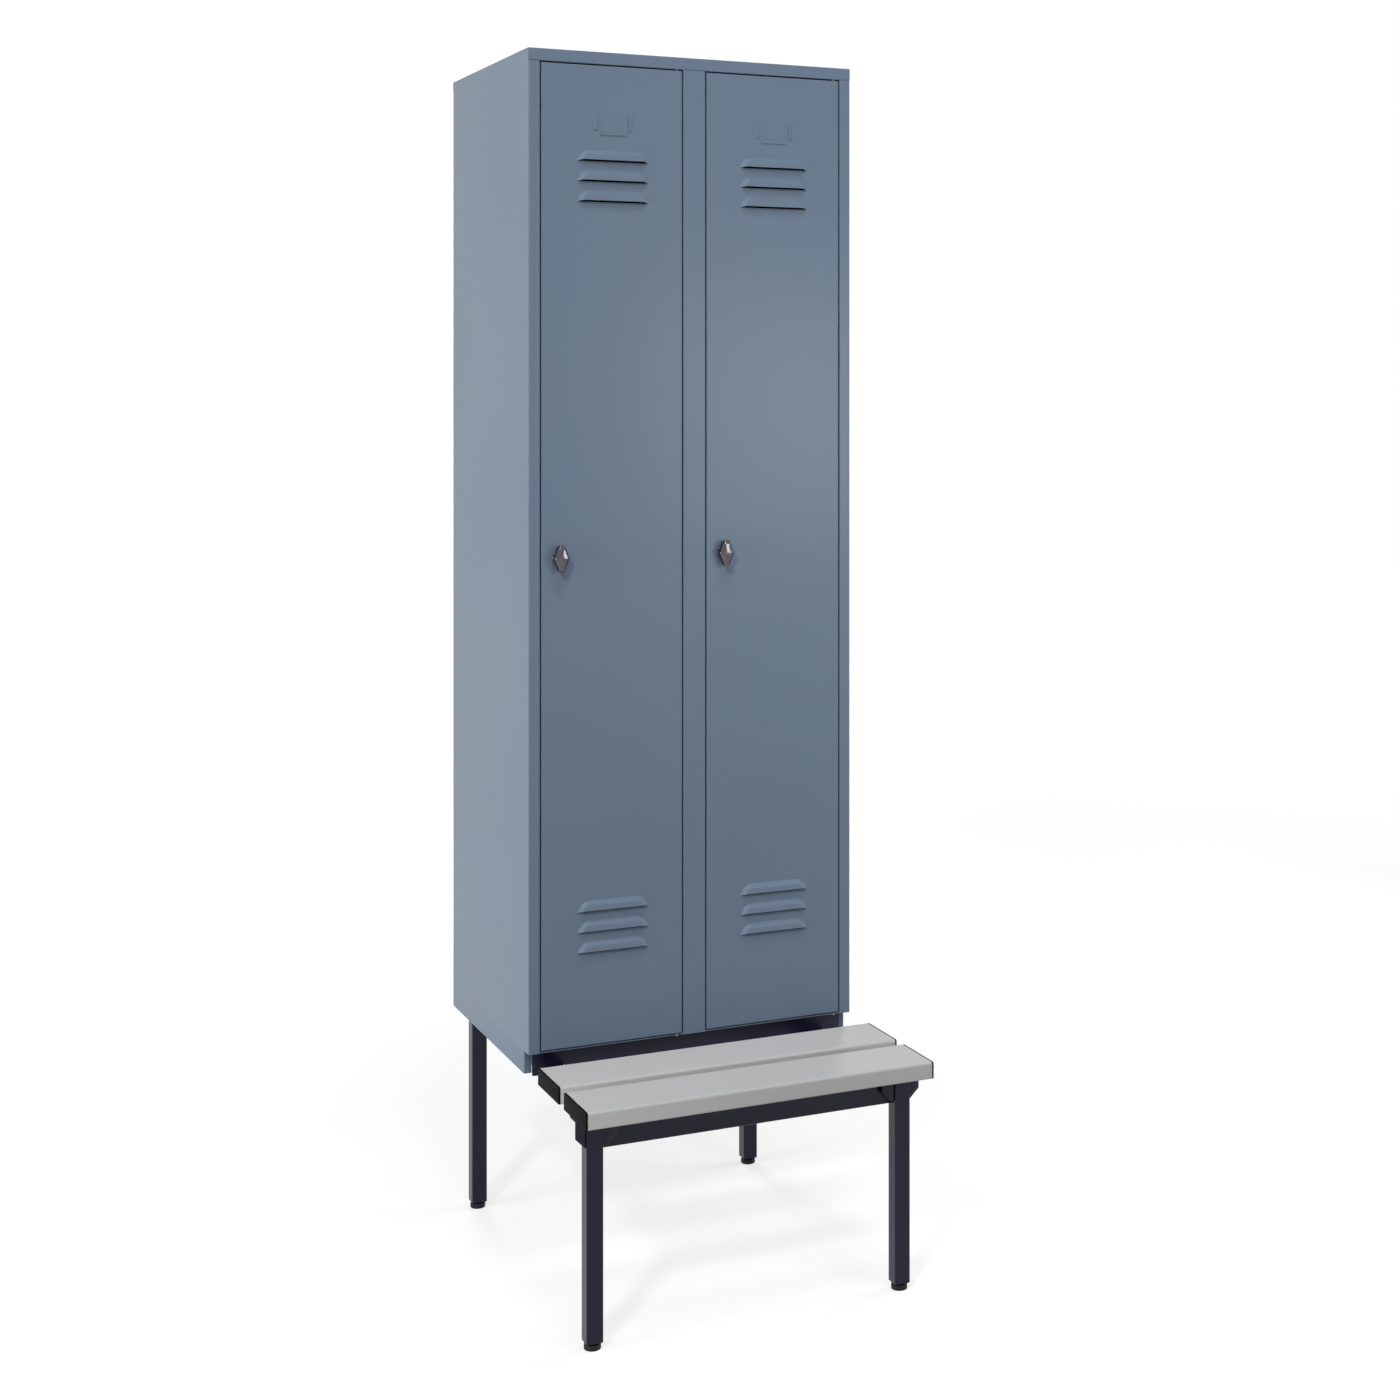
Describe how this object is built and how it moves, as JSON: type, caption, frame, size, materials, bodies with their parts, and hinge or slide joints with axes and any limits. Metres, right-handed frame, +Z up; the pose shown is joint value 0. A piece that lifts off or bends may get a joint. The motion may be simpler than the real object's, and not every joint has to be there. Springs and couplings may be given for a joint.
{
  "type": "locker with bench",
  "caption": "Steel clothes locker on a square-tube stand, with louvred hinged doors, turn-knob latches, shelves, coat rails and a slatted bench seat in front.",
  "frame": {"origin": "on the floor, under the middle of the object's box", "axes": "+Z up, -Y towards the bench and the doors' faces, +X to the right seen from the front"},
  "size_m": [0.61, 0.798, 2.1],
  "materials": {
    "blue_grey_paint": "blue-grey powder coat, satin",
    "dark_paint": "blue-black powder coat, satin",
    "grey_plastic": "smooth light grey plastic with a soft gloss",
    "black_plastic": "black, finely textured",
    "zinc": "zinc plated",
    "nickel": "polished nickel plate",
    "rubber": "black foot"
  },
  "bodies": {
    "locker": {"back_panel": "blue_grey_paint", "bench_bracket_left": "dark_paint", "bench_bracket_right": "dark_paint", "bench_rail_front": "dark_paint", "cabinet_rail_front": "dark_paint", "cabinet_rail_rear": "dark_paint", "coat_rail_left": "zinc", "coat_rail_right": "zinc", "floor_panel": "blue_grey_paint", "front_leg_left": "dark_paint", "front_leg_right": "dark_paint", "hat_shelf_left": "blue_grey_paint", "hat_shelf_right": "blue_grey_paint", "partition": "blue_grey_paint", "rear_leg_left": "dark_paint", "rear_leg_right": "dark_paint", "seat_slat_front": "grey_plastic", "seat_slat_rear": "grey_plastic", "side_bearer_left": "dark_paint", "side_bearer_right": "dark_paint", "side_panel_left": "blue_grey_paint", "side_panel_right": "blue_grey_paint", "slat_cap_front_left": "black_plastic", "slat_cap_front_right": "black_plastic", "slat_cap_rear_left": "black_plastic", "slat_cap_rear_right": "black_plastic", "slat_screw_front_left": "zinc", "slat_screw_front_right": "zinc", "slat_screw_rear_left": "zinc", "slat_screw_rear_right": "zinc", "stand_bolt_front_left": "zinc", "stand_bolt_front_right": "zinc", "stand_bolt_rear_left": "zinc", "stand_bolt_rear_right": "zinc", "top_panel": "blue_grey_paint"},
    "door_left": {"door_left": "blue_grey_paint", "door_stiffener_left": "blue_grey_paint", "lock_rosette_left": "nickel", "hinge_pin_upper_left": "zinc", "hinge_pin_lower_left": "zinc"},
    "latch_left": {"turn_knob_left": "nickel", "latch_cam_left": "zinc", "cam_nut_left": "zinc"},
    "coat_hook_left_outer": {"coat_hook_left_outer": "zinc"},
    "coat_hook_left_inner": {"coat_hook_left_inner": "zinc"},
    "levelling_foot_front_left": {"levelling_foot_front_left": "rubber"},
    "levelling_foot_rear_left": {"levelling_foot_rear_left": "rubber"},
    "door_right": {"door_right": "blue_grey_paint", "door_stiffener_right": "blue_grey_paint", "lock_rosette_right": "nickel", "hinge_pin_upper_right": "zinc", "hinge_pin_lower_right": "zinc"},
    "latch_right": {"turn_knob_right": "nickel", "latch_cam_right": "zinc", "cam_nut_right": "zinc"},
    "coat_hook_right_outer": {"coat_hook_right_outer": "zinc"},
    "coat_hook_right_inner": {"coat_hook_right_inner": "zinc"},
    "levelling_foot_front_right": {"levelling_foot_front_right": "rubber"},
    "levelling_foot_rear_right": {"levelling_foot_rear_right": "rubber"}
  },
  "joints": [
    {"name": "door_left_hinge", "type": "hinge", "parent": "locker", "child": "door_left", "pos_m": [-0.031, -0.075, 1.236], "axis": [0, 0, 1], "range_deg": [0, 110]},
    {"name": "latch_left_turn", "type": "hinge", "parent": "door_left", "child": "latch_left", "pos_m": [-0.2463, -0.081, 1.236], "axis": [0, -1, 0], "range_deg": [0, 90]},
    {"name": "coat_hook_left_outer_slide", "type": "slide", "parent": "locker", "child": "coat_hook_left_outer", "axis": [1, 0, 0], "range_m": [-0.095, 0.04]},
    {"name": "coat_hook_left_inner_slide", "type": "slide", "parent": "locker", "child": "coat_hook_left_inner", "axis": [1, 0, 0], "range_m": [-0.04, 0.095]},
    {"name": "door_right_hinge", "type": "hinge", "parent": "locker", "child": "door_right", "pos_m": [0.2695, -0.075, 1.236], "axis": [0, 0, 1], "range_deg": [0, 110]},
    {"name": "latch_right_turn", "type": "hinge", "parent": "door_right", "child": "latch_right", "pos_m": [0.0542, -0.081, 1.236], "axis": [0, -1, 0], "range_deg": [0, 90]},
    {"name": "coat_hook_right_outer_slide", "type": "slide", "parent": "locker", "child": "coat_hook_right_outer", "axis": [1, 0, 0], "range_m": [-0.04, 0.095]},
    {"name": "coat_hook_right_inner_slide", "type": "slide", "parent": "locker", "child": "coat_hook_right_inner", "axis": [1, 0, 0], "range_m": [-0.095, 0.04]},
    {"name": "levelling_foot_front_left_screw", "type": "slide", "parent": "locker", "child": "levelling_foot_front_left", "axis": [0, 0, -1], "range_m": [0, 0.012]},
    {"name": "levelling_foot_rear_left_screw", "type": "slide", "parent": "locker", "child": "levelling_foot_rear_left", "axis": [0, 0, -1], "range_m": [0, 0.012]},
    {"name": "levelling_foot_front_right_screw", "type": "slide", "parent": "locker", "child": "levelling_foot_front_right", "axis": [0, 0, -1], "range_m": [0, 0.012]},
    {"name": "levelling_foot_rear_right_screw", "type": "slide", "parent": "locker", "child": "levelling_foot_rear_right", "axis": [0, 0, -1], "range_m": [0, 0.012]}
  ]
}
